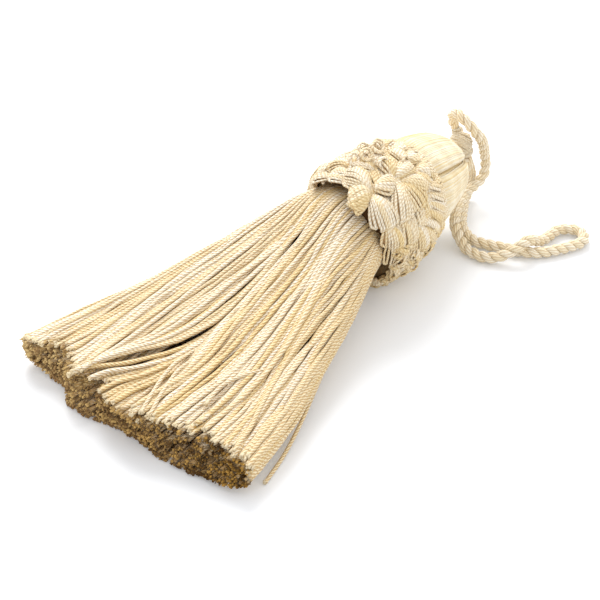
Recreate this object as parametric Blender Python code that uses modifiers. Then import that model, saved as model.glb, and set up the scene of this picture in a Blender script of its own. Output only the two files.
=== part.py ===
"""A key tassel lying on a flat surface: fanned skirt, crocheted collar, bulb head, knot and hanging loop.

Metres, +Z up. The tassel lies along X, from the cut end of its skirt towards its head, and the surface
that it lies on is z = 0. Sizes below are in millimetres, and stations are measured along the tassel from
near the cut end. The origin is on the floor, under the middle of the tassel without its cord.
"""

import math

import bmesh
import bpy
import numpy as np
from mathutils import Matrix, Vector

MM = 0.001

# Driving sizes, in millimetres.
ORIGIN_STATION = 59.0
ORIGIN_ACROSS = -1.6
AXIS_HEIGHT = 16.0
NECK_STATION = 75.0
NECK_END_STATION = 81.0
NECK_RADIUS = 11.1
NECK_TAPER = 0.6
NECK_AROUND = 48
RUFF_COLUMNS = 10
RUFF_AROUND = 80
SHELL_RISE = 1.8
SHELL_SPACING = 6.0
SHELL_STATION = 76.6
SHELL_FALL_AROUND = 0.85
SHELL_FALL_ALONG = 0.9
SHELL_START_RADIUS = 12.0
SHELL_FULL_RADIUS = 13.4
REST_SAG = 0.8
RIM_REACH = 7.0
RIM_TURN = 138
RIM_SPREAD = 44
RIM_STATION = 75.0
RIM_END_STATION = 84.0
HEAD_RIBS = 26
HEAD_STEPS_PER_RIB = 3
RIB_RISE = 0.25
RIB_FULL_RADIUS = 10.0
RIB_START_RADIUS = 0.5
STRANDS_PER_LAYER = (76, 66, 56)
STRAND_SHARES = (0.0, 0.12, 0.34, 0.63, 1.0)
STRAND_PITCH = ((0.0, 72.0), (1.5, 1.05))
STRAND_GAP = 0.36
STRAND_FULLNESS = 1.12
ROOT_DEPTH = 1.2
OUTER_LAYER = 0.55
END_STATION = -3.0
END_INSET = 0.8
END_LAYER = 1.5
FLOOR_LAYER = 1.4
FLOOR_RUN = 32.0
CUT_STATION = -4.6
CUT_BOW_LEFT = 4.6
CUT_BOW_RIGHT = 2.4
UPPER_HEIGHT = 4.0
UPPER_RUN = 3.0
LOCK_START = 12.0
LOCK_RUN = 45.0
LOCK_DEPTH = 6.0
CORD_WIDTH = 2.9
CORD_THICKNESS = 1.9
CORD_LAY = 10.0
CORD_STEP = 1.35
CORD_SIDES = 8
KNOT_CENTRE = (120.1, 2.2, 18.6)
KNOT_RADIUS = 3.4
KNOT_STRETCH = 1.08
KNOT_TILT = 24
KNOT_WRAPS = 3
KNOT_WRAP_SLANT = 1.6
KNOT_WRAP_RISE = 0.09
KNOT_WRAP_BASE = 0.95

# The skirt's cross-section along its length: its middle across, half width, underside, top, and how square
# its outline is.
SKIRT_COLUMNS = ("station", "middle", "half_width", "underside", "top", "squareness")
SKIRT_SECTIONS = (
    (-3.0, -1.9, 35.4, 0.0, 9.2, 3.4),
    (15.0, -1.0, 31.8, 0.0, 10.6, 3.0),
    (30.0, -0.2, 27.4, 0.2, 13.2, 2.6),
    (45.0, 0.3, 22.8, 1.0, 17.4, 2.3),
    (56.0, 0.4, 18.9, 2.0, 22.0, 2.1),
    (66.0, -0.1, 14.6, 3.4, 26.4, 2.0),
    (74.0, -1.2, 11.0, 5.2, 26.8, 2.0),
)

# The locks that the skirt parts into: where each lies across its width, how it rises and how much shorter
# its upper strands are cut.
LOCK_COLUMNS = ("across", "rise", "trim")
LOCKS = (
    (-1.0, 0.6, 3.5),
    (-0.8, 1.2, 2.2),
    (-0.55, 0.7, 1.5),
    (-0.32, 1.1, 0.0),
    (-0.16, -1.6, 0.0),
    (0.02, 0.1, 0.5),
    (0.12, -1.9, 4.5),
    (0.22, 0.0, 4.0),
    (0.3, 1.0, 1.5),
    (0.6, 0.5, 3.5),
    (0.8, 1.1, 4.5),
    (1.0, 0.7, 4.0),
)

# Turned outlines, as station along the tassel and radius.
HEAD_PROFILE = (
    (81.4, 0.0),
    (81.4, 10.8),
    (89.0, 11.1),
    (94.0, 11.7),
    (98.5, 12.0),
    (103.0, 11.2),
    (107.0, 10.2),
    (110.4, 8.7),
    (113.0, 6.8),
    (114.9, 4.6),
    (116.2, 3.0),
    (116.2, 0.0),
)
RUFF_PROFILE = (
    (77.0, 11.9),
    (75.4, 12.5),
    (74.2, 13.5),
    (74.0, 14.1),
    (74.6, 14.5),
    (75.6, 14.6),
    (77.0, 14.6),
    (79.0, 14.6),
    (81.0, 14.5),
    (83.0, 14.4),
    (85.0, 14.2),
    (87.0, 13.9),
    (89.0, 13.6),
    (91.0, 13.3),
    (92.8, 13.0),
    (94.0, 12.6),
    (94.0, 12.0),
    (91.0, 11.6),
    (84.0, 11.5),
)

# How far the collar and the head lie to the side of the tassel's middle.
BEND_COLUMNS = ("station", "across")
BEND = (
    (72.0, -1.2),
    (82.0, -1.2),
    (94.0, 0.2),
    (106.0, 1.2),
    (117.0, 1.2),
)

# The hanging loop's centre line, from the top of the knot, over a small arch, round the loop and back to
# the knot's underside.
CORD_ROUTE = (
    (121.3, 5.0, 21.8),
    (120.6, 5.5, 24.1),
    (119.8, 4.9, 25.9),
    (119.0, 3.3, 27.1),
    (118.4, 1.3, 27.0),
    (118.5, -0.8, 25.7),
    (120.1, -2.7, 22.7),
    (123.1, -2.4, 19.5),
    (126.8, -1.1, 13.6),
    (127.9, -0.8, 10.0),
    (127.0, -0.9, 7.4),
    (124.8, -0.4, 5.7),
    (121.5, -0.3, 5.0),
    (116.5, -1.6, 4.7),
    (106.6, -6.9, 4.2),
    (102.5, -12.8, 1.9),
    (101.6, -16.2, 1.5),
    (101.7, -19.6, 1.5),
    (103.2, -22.4, 1.9),
    (105.3, -24.6, 3.2),
    (107.9, -25.9, 4.4),
    (111.2, -26.1, 4.6),
    (117.5, -26.2, 1.9),
    (124.7, -26.0, 1.5),
    (127.5, -28.0, 1.5),
    (128.2, -30.5, 1.5),
    (126.6, -32.7, 1.5),
    (122.8, -33.7, 1.5),
    (113.7, -29.6, 1.5),
    (110.2, -25.3, 1.5),
    (109.3, -22.3, 1.5),
    (107.1, -16.4, 1.5),
    (106.6, -13.0, 1.5),
    (108.2, -9.4, 1.5),
    (111.9, -5.4, 1.5),
    (121.9, 0.9, 1.5),
    (125.5, 2.1, 2.6),
    (126.8, 2.6, 5.2),
    (125.7, 2.3, 8.4),
    (121.4, 1.0, 14.5),
)


def column(table, columns, name):
    """One named column of a table."""
    return np.array(table, float)[:, columns.index(name)]


def spread(table, at):
    """The row of a table at a station, read from a smooth curve through its rows."""
    rows = np.array(table, float)
    keys = rows[:, 0]
    at = float(np.clip(at, keys[0], keys[-1]))
    i = int(np.clip(np.searchsorted(keys, at) - 1, 0, len(keys) - 2))
    before, after = max(i - 1, 0), min(i + 2, len(keys) - 1)
    span = keys[i + 1] - keys[i]
    t = (at - keys[i]) / span
    slope_a = (rows[i + 1] - rows[before]) / (keys[i + 1] - keys[before]) * span
    slope_b = (rows[after] - rows[i]) / (keys[after] - keys[i]) * span
    return (
        (2 * t**3 - 3 * t**2 + 1) * rows[i]
        + (t**3 - 2 * t**2 + t) * slope_a
        + (3 * t**2 - 2 * t**3) * rows[i + 1]
        + (t**3 - t**2) * slope_b
    )


def place(station, across, up):
    """A point from its station, its distance across and its height, in metres in the part's frame."""
    return Vector(((station - ORIGIN_STATION) * MM, (across - ORIGIN_ACROSS) * MM, up * MM))


def bend(station):
    """How far across the collar's and the head's axis lies at a station."""
    return float(np.interp(station, column(BEND, BEND_COLUMNS, "station"), column(BEND, BEND_COLUMNS, "across")))


def round_axis(point):
    """A point's station, its radius from the straight axis, and its angle round it."""
    station = point.x / MM + ORIGIN_STATION
    across = point.y / MM + ORIGIN_ACROSS
    up = point.z / MM - AXIS_HEIGHT
    return station, math.hypot(across, up), math.atan2(up, across)


def from_axis(station, radius, angle):
    """The point at a station, a radius from the bent axis and an angle round it."""
    return place(station, bend(station) + radius * math.cos(angle), AXIS_HEIGHT + radius * math.sin(angle))


def clear_scene():
    for obj in list(bpy.data.objects):
        bpy.data.objects.remove(obj, do_unlink=True)


def collection(name):
    made = bpy.data.collections.new(name)
    bpy.context.scene.collection.children.link(made)
    return made


def finish(name, colour, roughness):
    material = bpy.data.materials.new(name)
    material.use_nodes = True
    shader = material.node_tree.nodes["Principled BSDF"]
    shader.inputs["Base Color"].default_value = (*colour, 1)
    shader.inputs["Roughness"].default_value = roughness
    shader.inputs["Metallic"].default_value = 0
    return material


def add_mesh(name, mesh, material, group):
    mesh.name = name
    mesh.materials.clear()
    mesh.materials.append(material)
    obj = bpy.data.objects.new(name, mesh)
    group.objects.link(obj)
    return obj


def taken_from(obj):
    """The evaluated mesh of an object in world space, with coinciding points welded. The object is removed."""
    bpy.context.view_layer.update()
    graph = bpy.context.evaluated_depsgraph_get()
    mesh = bpy.data.meshes.new_from_object(obj.evaluated_get(graph))
    mesh.transform(obj.matrix_world)
    bpy.data.objects.remove(obj)
    work = bmesh.new()
    work.from_mesh(mesh)
    bmesh.ops.remove_doubles(work, verts=work.verts, dist=1e-6)
    bmesh.ops.recalc_face_normals(work, faces=work.faces)
    work.to_mesh(mesh)
    work.free()
    return mesh


def turned(profile, steps, group, closed):
    """A mesh turned round the tassel's axis from (station, radius) points."""
    points = [(radius * MM, 0, station * MM) for station, radius in profile]
    edges = [(i, i + 1) for i in range(len(points) - 1)]
    if closed:
        edges.append((len(points) - 1, 0))
    outline = bpy.data.meshes.new("outline")
    outline.from_pydata(points, edges, [])
    obj = bpy.data.objects.new("outline", outline)
    group.objects.link(obj)
    screw = obj.modifiers.new("Turn", "SCREW")
    screw.steps = screw.render_steps = steps
    screw.use_merge_vertices = True
    screw.merge_threshold = 0.00001
    mesh = taken_from(obj)
    lay_down = Matrix.Rotation(math.radians(90), 4, "Y")
    mesh.transform(Matrix.Translation(place(0, 0, AXIS_HEIGHT)) @ lay_down)
    return mesh


def outline_curve(name, points, helpers):
    """A flat closed curve through points in millimetres, kept as the cross-section of a swept curve."""
    data = bpy.data.curves.new(name, "CURVE")
    data.dimensions = "2D"
    spline = data.splines.new("POLY")
    spline.points.add(len(points) - 1)
    for point, (x, y) in zip(spline.points, points, strict=True):
        point.co = (x * MM, y * MM, 0, 1)
    spline.use_cyclic_u = True
    obj = bpy.data.objects.new(name, data)
    obj.hide_render = True
    helpers.objects.link(obj)
    return obj


def swept(name, section, group):
    """An empty curve object that sweeps a cross-section along the splines it is given."""
    data = bpy.data.curves.new(name, "CURVE")
    data.dimensions = "3D"
    data.twist_mode = "MINIMUM"
    data.bevel_mode = "OBJECT"
    data.bevel_object = section
    data.use_fill_caps = True
    obj = bpy.data.objects.new(name, data)
    group.objects.link(obj)
    return obj


def section_outline(station, inset, count):
    """Evenly spaced points round the skirt at a station, inset from its surface, as (across, up, share)."""
    section = dict(zip(SKIRT_COLUMNS, spread(SKIRT_SECTIONS, station), strict=True))
    underside, top = section["underside"], section["top"]
    turn = np.linspace(0, 2 * math.pi, 721)
    power = 2 / section["squareness"]
    share = np.sign(np.cos(turn)) * np.abs(np.cos(turn)) ** power
    up = np.sign(np.sin(turn)) * np.abs(np.sin(turn)) ** power
    fan = 1 - np.clip((station - LOCK_START) / LOCK_RUN, 0, 1)
    rise = np.interp(share, column(LOCKS, LOCK_COLUMNS, "across"), column(LOCKS, LOCK_COLUMNS, "rise"))
    rise = rise * fan * np.clip(up, 0, 1) * (1 - inset / LOCK_DEPTH)
    y = section["middle"] + share * (section["half_width"] - inset)
    z = (underside + top) / 2 + up * ((top - underside) / 2 - inset) + rise
    run = np.concatenate([[0], np.cumsum(np.hypot(np.diff(y), np.diff(z)))])
    at = (np.arange(count) + 0.5) / count * run[-1]
    return np.stack([np.interp(at, run, y), np.interp(at, run, z), np.interp(at, run, share)], 1)


def end_stations(ends):
    """Where the strands are cut: a fan that reaches furthest in its middle, stepped at the top from lock to lock."""
    share = ends[:, 2]
    upper = np.clip((ends[:, 1] - UPPER_HEIGHT) / UPPER_RUN, 0, 1)
    trims = np.interp(share, column(LOCKS, LOCK_COLUMNS, "across"), column(LOCKS, LOCK_COLUMNS, "trim"))
    left = np.clip(share, 0, 1)
    right = np.clip(-share, 0, 1)
    bow = CUT_BOW_LEFT * left**2 + CUT_BOW_RIGHT * right**2
    return CUT_STATION + trims * upper + bow * (1 - upper)


def strand_paths():
    """Each strand's points from its root in the neck to its cut end, as arrays of (station, across, up)."""
    root = NECK_STATION + ROOT_DEPTH
    paths = []
    for layer, count in enumerate(STRANDS_PER_LAYER):
        ends = end_stations(section_outline(END_STATION, END_INSET + END_LAYER * layer, count))
        for k, end in enumerate(ends):
            path = []
            for station in root + (end - root) * np.array(STRAND_SHARES):
                pitch = np.interp(station, *STRAND_PITCH)
                y, z, _ = section_outline(station, pitch * (OUTER_LAYER + layer), count)[k]
                path.append((station, y, z))
            paths.append(path)
    return np.array(paths)


def strand_radii(paths):
    """How thick each strand may be at each of its points, to stand clear of its neighbours."""
    radii = np.empty(paths.shape[:2])
    for j in range(paths.shape[1]):
        flat = paths[:, j, 1:]
        apart = np.hypot(*(flat[:, None] - flat[None]).transpose(2, 0, 1))
        np.fill_diagonal(apart, math.inf)
        radii[:, j] = (apart.min(1) - STRAND_GAP) / 2
    return radii * STRAND_FULLNESS


def build_skirt(group, helpers, material):
    """The fan of strands, standing apart but for their roots, which the bound neck holds."""
    corners = [(math.cos(math.radians(90 + 120 * i)), math.sin(math.radians(90 + 120 * i))) for i in range(3)]
    strands = swept("strands", outline_curve("strand_side", corners, helpers), group)
    strands.data.twist_mode = "Z_UP"
    paths = strand_paths()
    for path, thick in zip(paths, strand_radii(paths), strict=True):
        spline = strands.data.splines.new("POLY")
        spline.points.add(len(path) - 1)
        for point, (station, across, up), radius in zip(spline.points, path, thick, strict=True):
            lying = radius / 2
            settled = lying if up < FLOOR_LAYER and station < FLOOR_RUN else max(up, lying)
            point.co = (*place(station, across, settled), 1)
            point.radius = radius
    skirt = add_mesh("skirt", taken_from(strands), material, group)

    neck = (
        (NECK_STATION, 0.0),
        (NECK_STATION, NECK_RADIUS),
        (NECK_END_STATION, NECK_RADIUS - NECK_TAPER),
        (NECK_END_STATION, 0.0),
    )
    plug = turned(neck, NECK_AROUND, group, False)
    for vertex in plug.vertices:
        vertex.co = from_axis(*round_axis(vertex.co))
    binding = add_mesh("neck_binding", plug, material, helpers)
    binding.hide_render = True
    binding.display_type = "WIRE"
    join = skirt.modifiers.new("Join", "BOOLEAN")
    join.operation = "UNION"
    join.object = binding
    return skirt


def build_head(group, material):
    """The bulb of yarn that is drawn over the top of the tassel, ribbed along its length."""
    mesh = turned(HEAD_PROFILE, HEAD_RIBS * HEAD_STEPS_PER_RIB, group, False)
    for vertex in mesh.vertices:
        station, radius, angle = round_axis(vertex.co)
        if radius < RIB_START_RADIUS:
            continue
        rib = RIB_RISE * math.cos(HEAD_RIBS * angle) * min(1, radius / RIB_FULL_RADIUS)
        vertex.co = from_axis(station, radius + rib - RIB_RISE, angle)
    return add_mesh("head", mesh, material, group)


def shell_height(station, angle):
    """How far the collar's padded shells stand out at a point, from 0 between them to 1 on their crowns."""
    turn = angle / (2 * math.pi) * RUFF_COLUMNS
    column = round(turn)
    off = (turn - column) * 2
    stagger = 0.5 * (column % 2)
    row = (station - SHELL_STATION) / SHELL_SPACING + stagger
    reach = (row - round(row)) * 2
    around = math.sqrt(max(0.0, 1 - SHELL_FALL_AROUND * off * off))
    along = math.sqrt(max(0.0, 1 - SHELL_FALL_ALONG * reach * reach))
    return around * along


def rim_shift(station, angle):
    """How far the collar's front hangs over the skirt: furthest on its upper side, away from the tassel's left."""
    away = math.degrees(angle) - RIM_TURN
    away = (away + 180) % 360 - 180
    front = min(1, max(0, (RIM_END_STATION - station) / (RIM_END_STATION - RIM_STATION)))
    return -RIM_REACH * math.exp(-((away / RIM_SPREAD) ** 2)) * front


def build_ruff(group, material):
    """The crocheted collar: shells laid round it side by side, staggered, that flatten where it lies."""
    mesh = turned(RUFF_PROFILE, RUFF_AROUND, group, True)
    mesh.update()
    normals = [vertex.normal.copy() for vertex in mesh.vertices]
    for vertex, normal in zip(mesh.vertices, normals, strict=True):
        station, radius, angle = round_axis(vertex.co)
        full = min(1, max(0, (radius - SHELL_START_RADIUS) / (SHELL_FULL_RADIUS - SHELL_START_RADIUS)))
        shell = normal * (shell_height(station, angle) * full * SHELL_RISE * MM)
        vertex.co = from_axis(station + rim_shift(station, angle), radius, angle) + shell
        sag = REST_SAG * max(0, -math.sin(angle)) ** 2 * full * MM
        vertex.co.z = max(vertex.co.z - sag, 0)
    return add_mesh("ruff", mesh, material, group)


def build_knot(group, material):
    """The knot that holds the loop's ends: a lump with slanting wraps."""
    work = bmesh.new()
    bmesh.ops.create_uvsphere(work, u_segments=24, v_segments=12, radius=1)
    for vertex in work.verts:
        turn = math.atan2(vertex.co.y, vertex.co.x)
        wrap = math.cos(KNOT_WRAPS * (turn + KNOT_WRAP_SLANT * vertex.co.z)) * (1 - vertex.co.z**2)
        vertex.co *= (KNOT_WRAP_BASE + KNOT_WRAP_RISE * wrap) * KNOT_RADIUS * MM
        vertex.co.z *= KNOT_STRETCH
    mesh = bpy.data.meshes.new("knot")
    work.to_mesh(mesh)
    work.free()
    leaning = Matrix.Rotation(math.radians(KNOT_TILT), 4, "Y")
    mesh.transform(Matrix.Translation(place(*KNOT_CENTRE)) @ leaning)
    return add_mesh("top_knot", mesh, material, group)


def smooth_route(points, step):
    """Evenly spaced points on a smooth curve through the route's points."""
    points = np.array(points, float)
    ends = np.concatenate([[2 * points[0] - points[1]], points, [2 * points[-1] - points[-2]]])
    fine = []
    for a, b, c, d in zip(ends[:-3], ends[1:-2], ends[2:-1], ends[3:], strict=True):
        for t in np.arange(0, 1, 0.05):
            fine.append(
                0.5 * (2 * b + (c - a) * t + (2 * a - 5 * b + 4 * c - d) * t**2 + (3 * b - a - 3 * c + d) * t**3)
            )
    fine = np.array(fine + [points[-1]])
    run = np.concatenate([[0], np.cumsum(np.linalg.norm(np.diff(fine, axis=0), axis=1))])
    at = np.linspace(0, run[-1], round(run[-1] / step) + 1)
    return np.stack([np.interp(at, run, fine[:, axis]) for axis in range(3)], 1), at


def build_cord(group, helpers, material):
    """The two-ply hanging cord, as a tube of an oval section that turns with the cord's lay."""
    turns = np.linspace(0, 2 * math.pi, CORD_SIDES, endpoint=False)
    oval = [(CORD_WIDTH / 2 * math.cos(t), CORD_THICKNESS / 2 * math.sin(t)) for t in turns]
    cord = swept("cord", outline_curve("cord_section", oval, helpers), group)
    route, runs = smooth_route(CORD_ROUTE, CORD_STEP)
    spline = cord.data.splines.new("POLY")
    spline.points.add(len(route) - 1)
    for point, spot, run in zip(spline.points, route, runs, strict=True):
        point.co = (*place(*spot), 1)
        point.tilt = 2 * math.pi * run / CORD_LAY
    return add_mesh("hanging_cord", taken_from(cord), material, group)


def main():
    clear_scene()
    group = collection("tassel")
    helpers = collection("helpers")
    yarn = finish("yarn", (0.80, 0.68, 0.46), 0.6)
    floss = finish("floss", (0.84, 0.75, 0.57), 0.5)
    crochet = finish("crochet", (0.82, 0.73, 0.53), 0.6)
    twine = finish("twine", (0.83, 0.72, 0.50), 0.6)
    build_skirt(group, helpers, yarn)
    build_head(group, floss)
    build_ruff(group, crochet)
    build_knot(group, twine)
    build_cord(group, helpers, twine)


main()
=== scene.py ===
"""The tassel as it lies: plied skirt yarns, crocheted collar, floss head, wrapped knot and its hanging loop.

Stations run along the tassel in millimetres from near the cut end of the skirt to the head, across is to
its side and up is above the floor. Turns are angles round the collar's axis, with 90 degrees on top.
"""

import math

import bpy
import numpy as np
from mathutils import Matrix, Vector


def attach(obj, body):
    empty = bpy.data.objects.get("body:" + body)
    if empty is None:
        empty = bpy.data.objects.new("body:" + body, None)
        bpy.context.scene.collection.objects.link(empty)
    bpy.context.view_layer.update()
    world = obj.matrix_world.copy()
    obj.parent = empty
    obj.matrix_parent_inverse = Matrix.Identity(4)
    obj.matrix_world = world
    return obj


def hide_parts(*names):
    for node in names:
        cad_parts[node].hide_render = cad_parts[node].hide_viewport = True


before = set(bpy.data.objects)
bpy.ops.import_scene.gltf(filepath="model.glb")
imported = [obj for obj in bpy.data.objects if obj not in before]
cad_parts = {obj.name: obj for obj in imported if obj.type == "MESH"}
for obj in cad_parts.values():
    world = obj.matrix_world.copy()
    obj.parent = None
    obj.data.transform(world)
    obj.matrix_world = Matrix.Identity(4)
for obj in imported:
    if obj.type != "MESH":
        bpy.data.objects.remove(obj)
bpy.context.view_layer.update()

MM = 0.001
FULL_TURN = 2 * math.pi

# The part's origin, as station and across, and the height of the collar's and the head's axis.
ORIGIN_STATION = 59.0
ORIGIN_ACROSS = -1.6
AXIS_HEIGHT = 16.0

# The camera, in the part's frame.
CAMERA_LENS = 84.0
CAMERA_SENSOR = 36.0
CAMERA_ELEVATION = 33.1
CAMERA_AZIMUTH = 41.6
CAMERA_DISTANCE = 305.0
CAMERA_TARGET = (41.5, -12.3, 15.0)

# Each light's place and what it aims at, in metres.
KEY_LIGHT = ((0.3, 0.42, 0.5), (0.0, 0.0, 0.0))
FILL_LIGHT = ((0.35, -0.25, 0.2), (0.03, -0.02, 0.0))
FLOOR_REACH = 3000.0
FLOOR_DROP = 0.05

# The hanging loop: two plies, each of seven yarns.
CORD_ROUTE = (
    (121.3, 5.0, 21.8),
    (120.6, 5.5, 24.1),
    (119.8, 4.9, 25.9),
    (119.0, 3.3, 27.1),
    (118.4, 1.3, 27.0),
    (118.5, -0.8, 25.7),
    (120.1, -2.7, 22.7),
    (123.1, -2.4, 19.5),
    (126.8, -1.1, 13.6),
    (127.9, -0.8, 10.0),
    (127.0, -0.9, 7.4),
    (124.8, -0.4, 5.7),
    (121.5, -0.3, 5.0),
    (116.5, -1.6, 4.7),
    (106.6, -6.9, 4.2),
    (102.5, -12.8, 1.9),
    (101.6, -16.2, 1.5),
    (101.7, -19.6, 1.5),
    (103.2, -22.4, 1.9),
    (105.3, -24.6, 3.2),
    (107.9, -25.9, 4.4),
    (111.2, -26.1, 4.6),
    (117.5, -26.2, 1.9),
    (124.7, -26.0, 1.5),
    (127.5, -28.0, 1.5),
    (128.2, -30.5, 1.5),
    (126.6, -32.7, 1.5),
    (122.8, -33.7, 1.5),
    (113.7, -29.6, 1.5),
    (110.2, -25.3, 1.5),
    (109.3, -22.3, 1.5),
    (107.1, -16.4, 1.5),
    (106.6, -13.0, 1.5),
    (108.2, -9.4, 1.5),
    (111.9, -5.4, 1.5),
    (121.9, 0.9, 1.5),
    (125.5, 2.1, 2.6),
    (126.8, 2.6, 5.2),
    (125.7, 2.3, 8.4),
    (121.4, 1.0, 14.5),
)
CORD_LAY = 4.9
CORD_STEP = 0.42
PLY_OFFSET = 0.68
PLY_LAY = 9.0
PLY_YARNS = 7
PLY_RADIUS = 0.82
PLY_SIDES = 12
PLY_TONES = (0.15, 0.4)
PLY_GROOVE = 0.035
PLY_FLAT = 0.06
ROUTE_STEP = 2.0

# The skirt's cross-section along its length: its middle across, half width, underside, top, and how square
# its outline is.
SKIRT_SECTIONS = (
    (-6.0, -2.1, 35.9, 0.0, 9.0, 3.5),
    (-3.0, -1.9, 35.4, 0.0, 9.2, 3.4),
    (15.0, -1.0, 31.8, 0.0, 10.6, 3.0),
    (30.0, -0.2, 27.4, 0.2, 13.2, 2.6),
    (45.0, 0.3, 22.8, 1.0, 17.4, 2.3),
    (56.0, 0.4, 18.9, 2.0, 22.0, 2.1),
    (66.0, -0.1, 14.6, 3.4, 26.4, 2.0),
    (74.0, -1.2, 11.0, 5.2, 26.8, 2.0),
    (78.0, -1.2, 10.6, 5.4, 26.6, 2.0),
)
ROOT_STATION = 77.0
NECK_STATION = 74
CUT_SECTION = -3.0
OUTER_YARNS = 172
OUTER_RINGS = 151
OUTER_INSET = 0.5
YARN_SIDES = 6
YARN_PLIES = 4
YARN_LAY = 4.3
LOBE_DEPTH = 0.06
# By station, the yarns' radius, that of the crossing lock's yarns, and how far every second yarn dives.
YARN_RADII = ((-5, 0.51), (40, 0.48), (74, 0.42))
LOCK_RADII = ((-5, 0.53), (40, 0.47))
DIVES = ((-5, 0.15), (20, 0.24), (45, 0.34), (66, 0.8))
# Lengths and heights of the wander that each yarn has of its own.
YARN_WANDER = ((60, 37, 21, 12, 7), (0.18, 0.13, 0.1, 0.08, 0.05))
# Wander that neighbours share: waves round the skirt, length along it, height and phase.
SHARED_WANDER = (
    (3, 110.0, 1.3, 0.4),
    (7, 95.0, 0.9, 2.1),
    (13, 80.0, 0.4, 4.4),
    (23, 60.0, 0.24, 1.2),
    (37, 46.0, 0.14, 5.3),
)
LOOSE_YARNS = 14
LOOSE_RINGS = 130
LOOSE_START = 73.0
LOOSE_RADIUS = 0.5
# The inner layers: yarns, rings, how deep they lie at the cut end and at the neck, and where they start.
INNER_LAYERS = (
    (120, 48, 1.05, 1.4, None),
    (112, 16, 2.2, 2.2, 16.0),
    (100, 16, 3.2, 3.2, 16.0),
    (88, 16, 4.2, 4.2, 16.0),
)
INNER_RADIUS = 0.55
INNER_SIDES = 5
LOCK_YARNS = 21
LOCK_RINGS = 110
LOCK_START = 46.0
STRAY_RADIUS = 0.42
STRAY_TONE = 0.7
CROSSING_TONE = 0.3
ROUTE_RING_STEP = 0.45
# How a cut yarn opens: fibres, their radius, how far they lean, and their shortest and longest reach.
CUT_FIBRES = (
    (4, 0.29, 0.22, 0.2, 0.8),
    (3, 0.12, 0.4, 0.4, 1.0),
)
# How much painted shade the inner yarns get, and how much painted shadow the yarns get where the collar's
# front hangs over them.
INNER_SHADE = 0.1
HOLLOW_SHADE = 0.6
YARN_FLAT = 0.16
STITCH_FLAT = 0.28
STRAY_YARN = (
    (40.0, -22.5, 6.0),
    (30.0, -26.6, 3.6),
    (21.0, -30.4, 1.9),
    (12.5, -33.6, 0.8),
    (4.2, -36.2, 0.5),
)
# Short yarns that lie across the others near the cut end.
CROSSING_YARNS = (
    ((20.0, -3.2, 9.6), (12.0, -4.6, 11.0), (6.7, -5.9, 10.9), (1.1, -8.1, 10.4), (-4.2, -10.3, 9.6)),
    ((19.0, -5.6, 9.6), (11.0, -6.6, 10.8), (6.5, -7.8, 10.5), (1.6, -9.7, 10.1), (-3.4, -12.0, 9.3)),
    ((33.0, -22.3, 9.0), (24.0, -20.4, 10.2), (17.5, -18.4, 10.9), (11.8, -17.4, 10.8), (6.0, -18.4, 9.9)),
)

# Where the yarns are cut along the upper and the lower edge of the cut end, as across and station.
UPPER_CUT = (
    (-35.5, 0.8),
    (-32.0, -0.8),
    (-27.6, 1.0),
    (-22.8, -0.1),
    (-18.3, -1.2),
    (-15.6, -2.6),
    (-11.4, -4.3),
    (-6.0, -5.0),
    (-0.2, -5.0),
    (2.9, -0.8),
    (7.8, -0.4),
    (8.7, 0.1),
    (10.7, -3.5),
    (15.0, -2.4),
    (20.6, 0.9),
    (25.0, 0.4),
    (29.6, -1.1),
    (34.0, 0.5),
)
LOWER_CUT = (
    (-34.4, -1.1),
    (-30.2, -2.4),
    (-23.8, -2.9),
    (-16.4, -4.1),
    (-8.2, -3.3),
    (0.9, -3.4),
    (6.9, -5.1),
    (12.7, -4.7),
    (17.0, -1.4),
    (28.5, -0.8),
    (33.9, 1.1),
)
# A hollow in the cut end: its middle across, its height and half its width.
END_HOLLOW = (-26.3, 4.4, 1.0)

# The main parting and the big middle lock's left edge, as station and across for each, and how open the
# parting is. The small lock lies between them.
OPENING = (
    (-6.0, 11.2, -9.4, 0.1),
    (0.0, 9.4, -8.4, 0.5),
    (5.0, 6.9, -7.6, 1.2),
    (9.6, 4.6, -6.6, 1.15),
    (14.0, 2.0, -5.4, 0.75),
    (18.0, 0.3, -4.8, 0.35),
    (22.5, -1.2, -4.0, 0.2),
    (27.0, -1.6, -3.1, 0.15),
    (33.0, -1.0, -2.0, 0.2),
    (42.0, -0.5, -1.0, 0.15),
    (54.0, -1.2, -1.2, 0.0),
)
OPENING_REACH = 9.0
# Narrow partings between locks: station and across at each end, half width and depth.
PARTINGS = (
    (2.0, -31.0, 30.0, -25.6, 0.3, 0.7),
    (10.0, -24.0, 32.0, -19.8, 0.2, 0.5),
    (19.0, -28.0, 40.0, -20.4, 0.3, 0.7),
    (-3.0, -19.5, 14.0, -18.0, 0.25, 0.5),
    (12.0, 15.4, 32.0, 14.0, 0.25, 0.6),
    (-4.0, 25.0, 20.0, 22.0, 0.25, 0.6),
    (34.0, 6.0, 58.0, 3.5, 0.15, 0.4),
    (38.0, -10.0, 60.0, -7.0, 0.15, 0.4),
)

# The collar's outer surface, as station and radius, and the lie of its axis, as station and across.
COLLAR_RADII = (
    (71.0, 12.4),
    (73.0, 13.6),
    (75.0, 14.3),
    (77.0, 14.6),
    (79.0, 14.6),
    (83.0, 14.4),
    (87.0, 13.9),
    (91.0, 13.3),
    (94.0, 12.6),
    (97.0, 12.2),
)
BEND = (
    (72.0, -1.2),
    (82.0, -1.2),
    (94.0, 0.2),
    (106.0, 1.2),
    (117.0, 1.2),
)
# How far the collar's front hangs over the skirt, the turn and spread of that, and the stations where it
# is full and where it ends.
RIM_REACH = 7.0
RIM_TURN = 138
RIM_SPREAD = 44
RIM_STATION = 75.0
RIM_END_STATION = 84.0
REST_SAG = 0.8
# The dark hollow under the collar's front, where the ground is painted in shadow, from the part's origin, and
# the ground under its threads, which is painted in shade.
HOLLOW_STATION = 72.0 - ORIGIN_STATION
HOLLOW_LENGTH = 6
GROUND_STATIONS = (73.8, 94.2)
GROUND_LIFTS = (-0.6, -3.6)
GROUND_ROWS = 30
GROUND_COLUMNS = 96
LOWEST_THREAD = 0.35
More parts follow.
